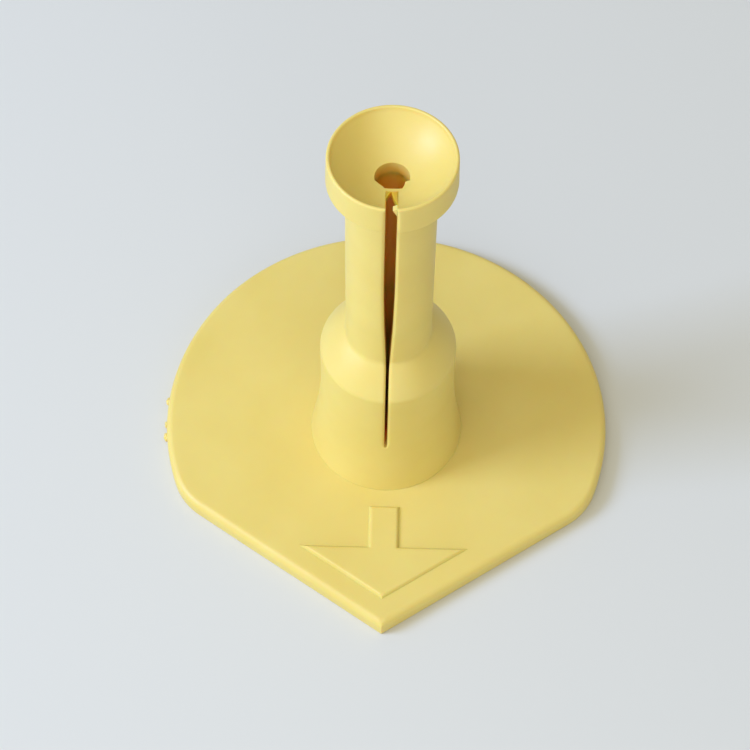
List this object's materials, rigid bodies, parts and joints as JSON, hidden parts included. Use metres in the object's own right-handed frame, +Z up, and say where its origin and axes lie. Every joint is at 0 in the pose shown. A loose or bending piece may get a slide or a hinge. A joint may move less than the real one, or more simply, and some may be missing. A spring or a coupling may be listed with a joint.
{
  "type": "golf tee",
  "caption": "Moulded rubber range tee: flat pointed plate with a raised arrow and a slit, flexing hollow post that carries a golf ball in a shallow cup.",
  "frame": {"origin": "on the underside of the plate, on the axis of the post", "axes": "+Z up along the post to the cup; -Y is forward, where the arrow, the plate's point and the slit face; +X to the right seen from the front"},
  "size_m": [0.0807, 0.0815, 0.0822],
  "materials": {
    "moulded_rubber": "satin cream-yellow moulded rubber, slightly translucent"
  },
  "bodies": {
    "base": {"base_plate": "moulded_rubber", "direction_arrow": "moulded_rubber", "edge_nubs": "moulded_rubber", "post_foot": "moulded_rubber", "post_barrel": "moulded_rubber", "post_shoulder": "moulded_rubber"},
    "lower_post": {"tube_lower": "moulded_rubber"},
    "upper_post": {"tube_upper": "moulded_rubber", "ball_cup": "moulded_rubber", "hole_web": "moulded_rubber", "rim_nub": "moulded_rubber"}
  },
  "joints": [
    {"name": "post_sway", "type": "hinge", "parent": "base", "child": "lower_post", "pos_m": [0, 0, 0.04], "axis": [0, 1, 0], "range_deg": [-18, 18], "stiffness_Nm_per_rad": 0.5},
    {"name": "post_bend", "type": "hinge", "parent": "lower_post", "child": "upper_post", "pos_m": [0, 0, 0.052], "axis": [1, 0, 0], "range_deg": [-25, 65], "stiffness_Nm_per_rad": 0.2}
  ]
}
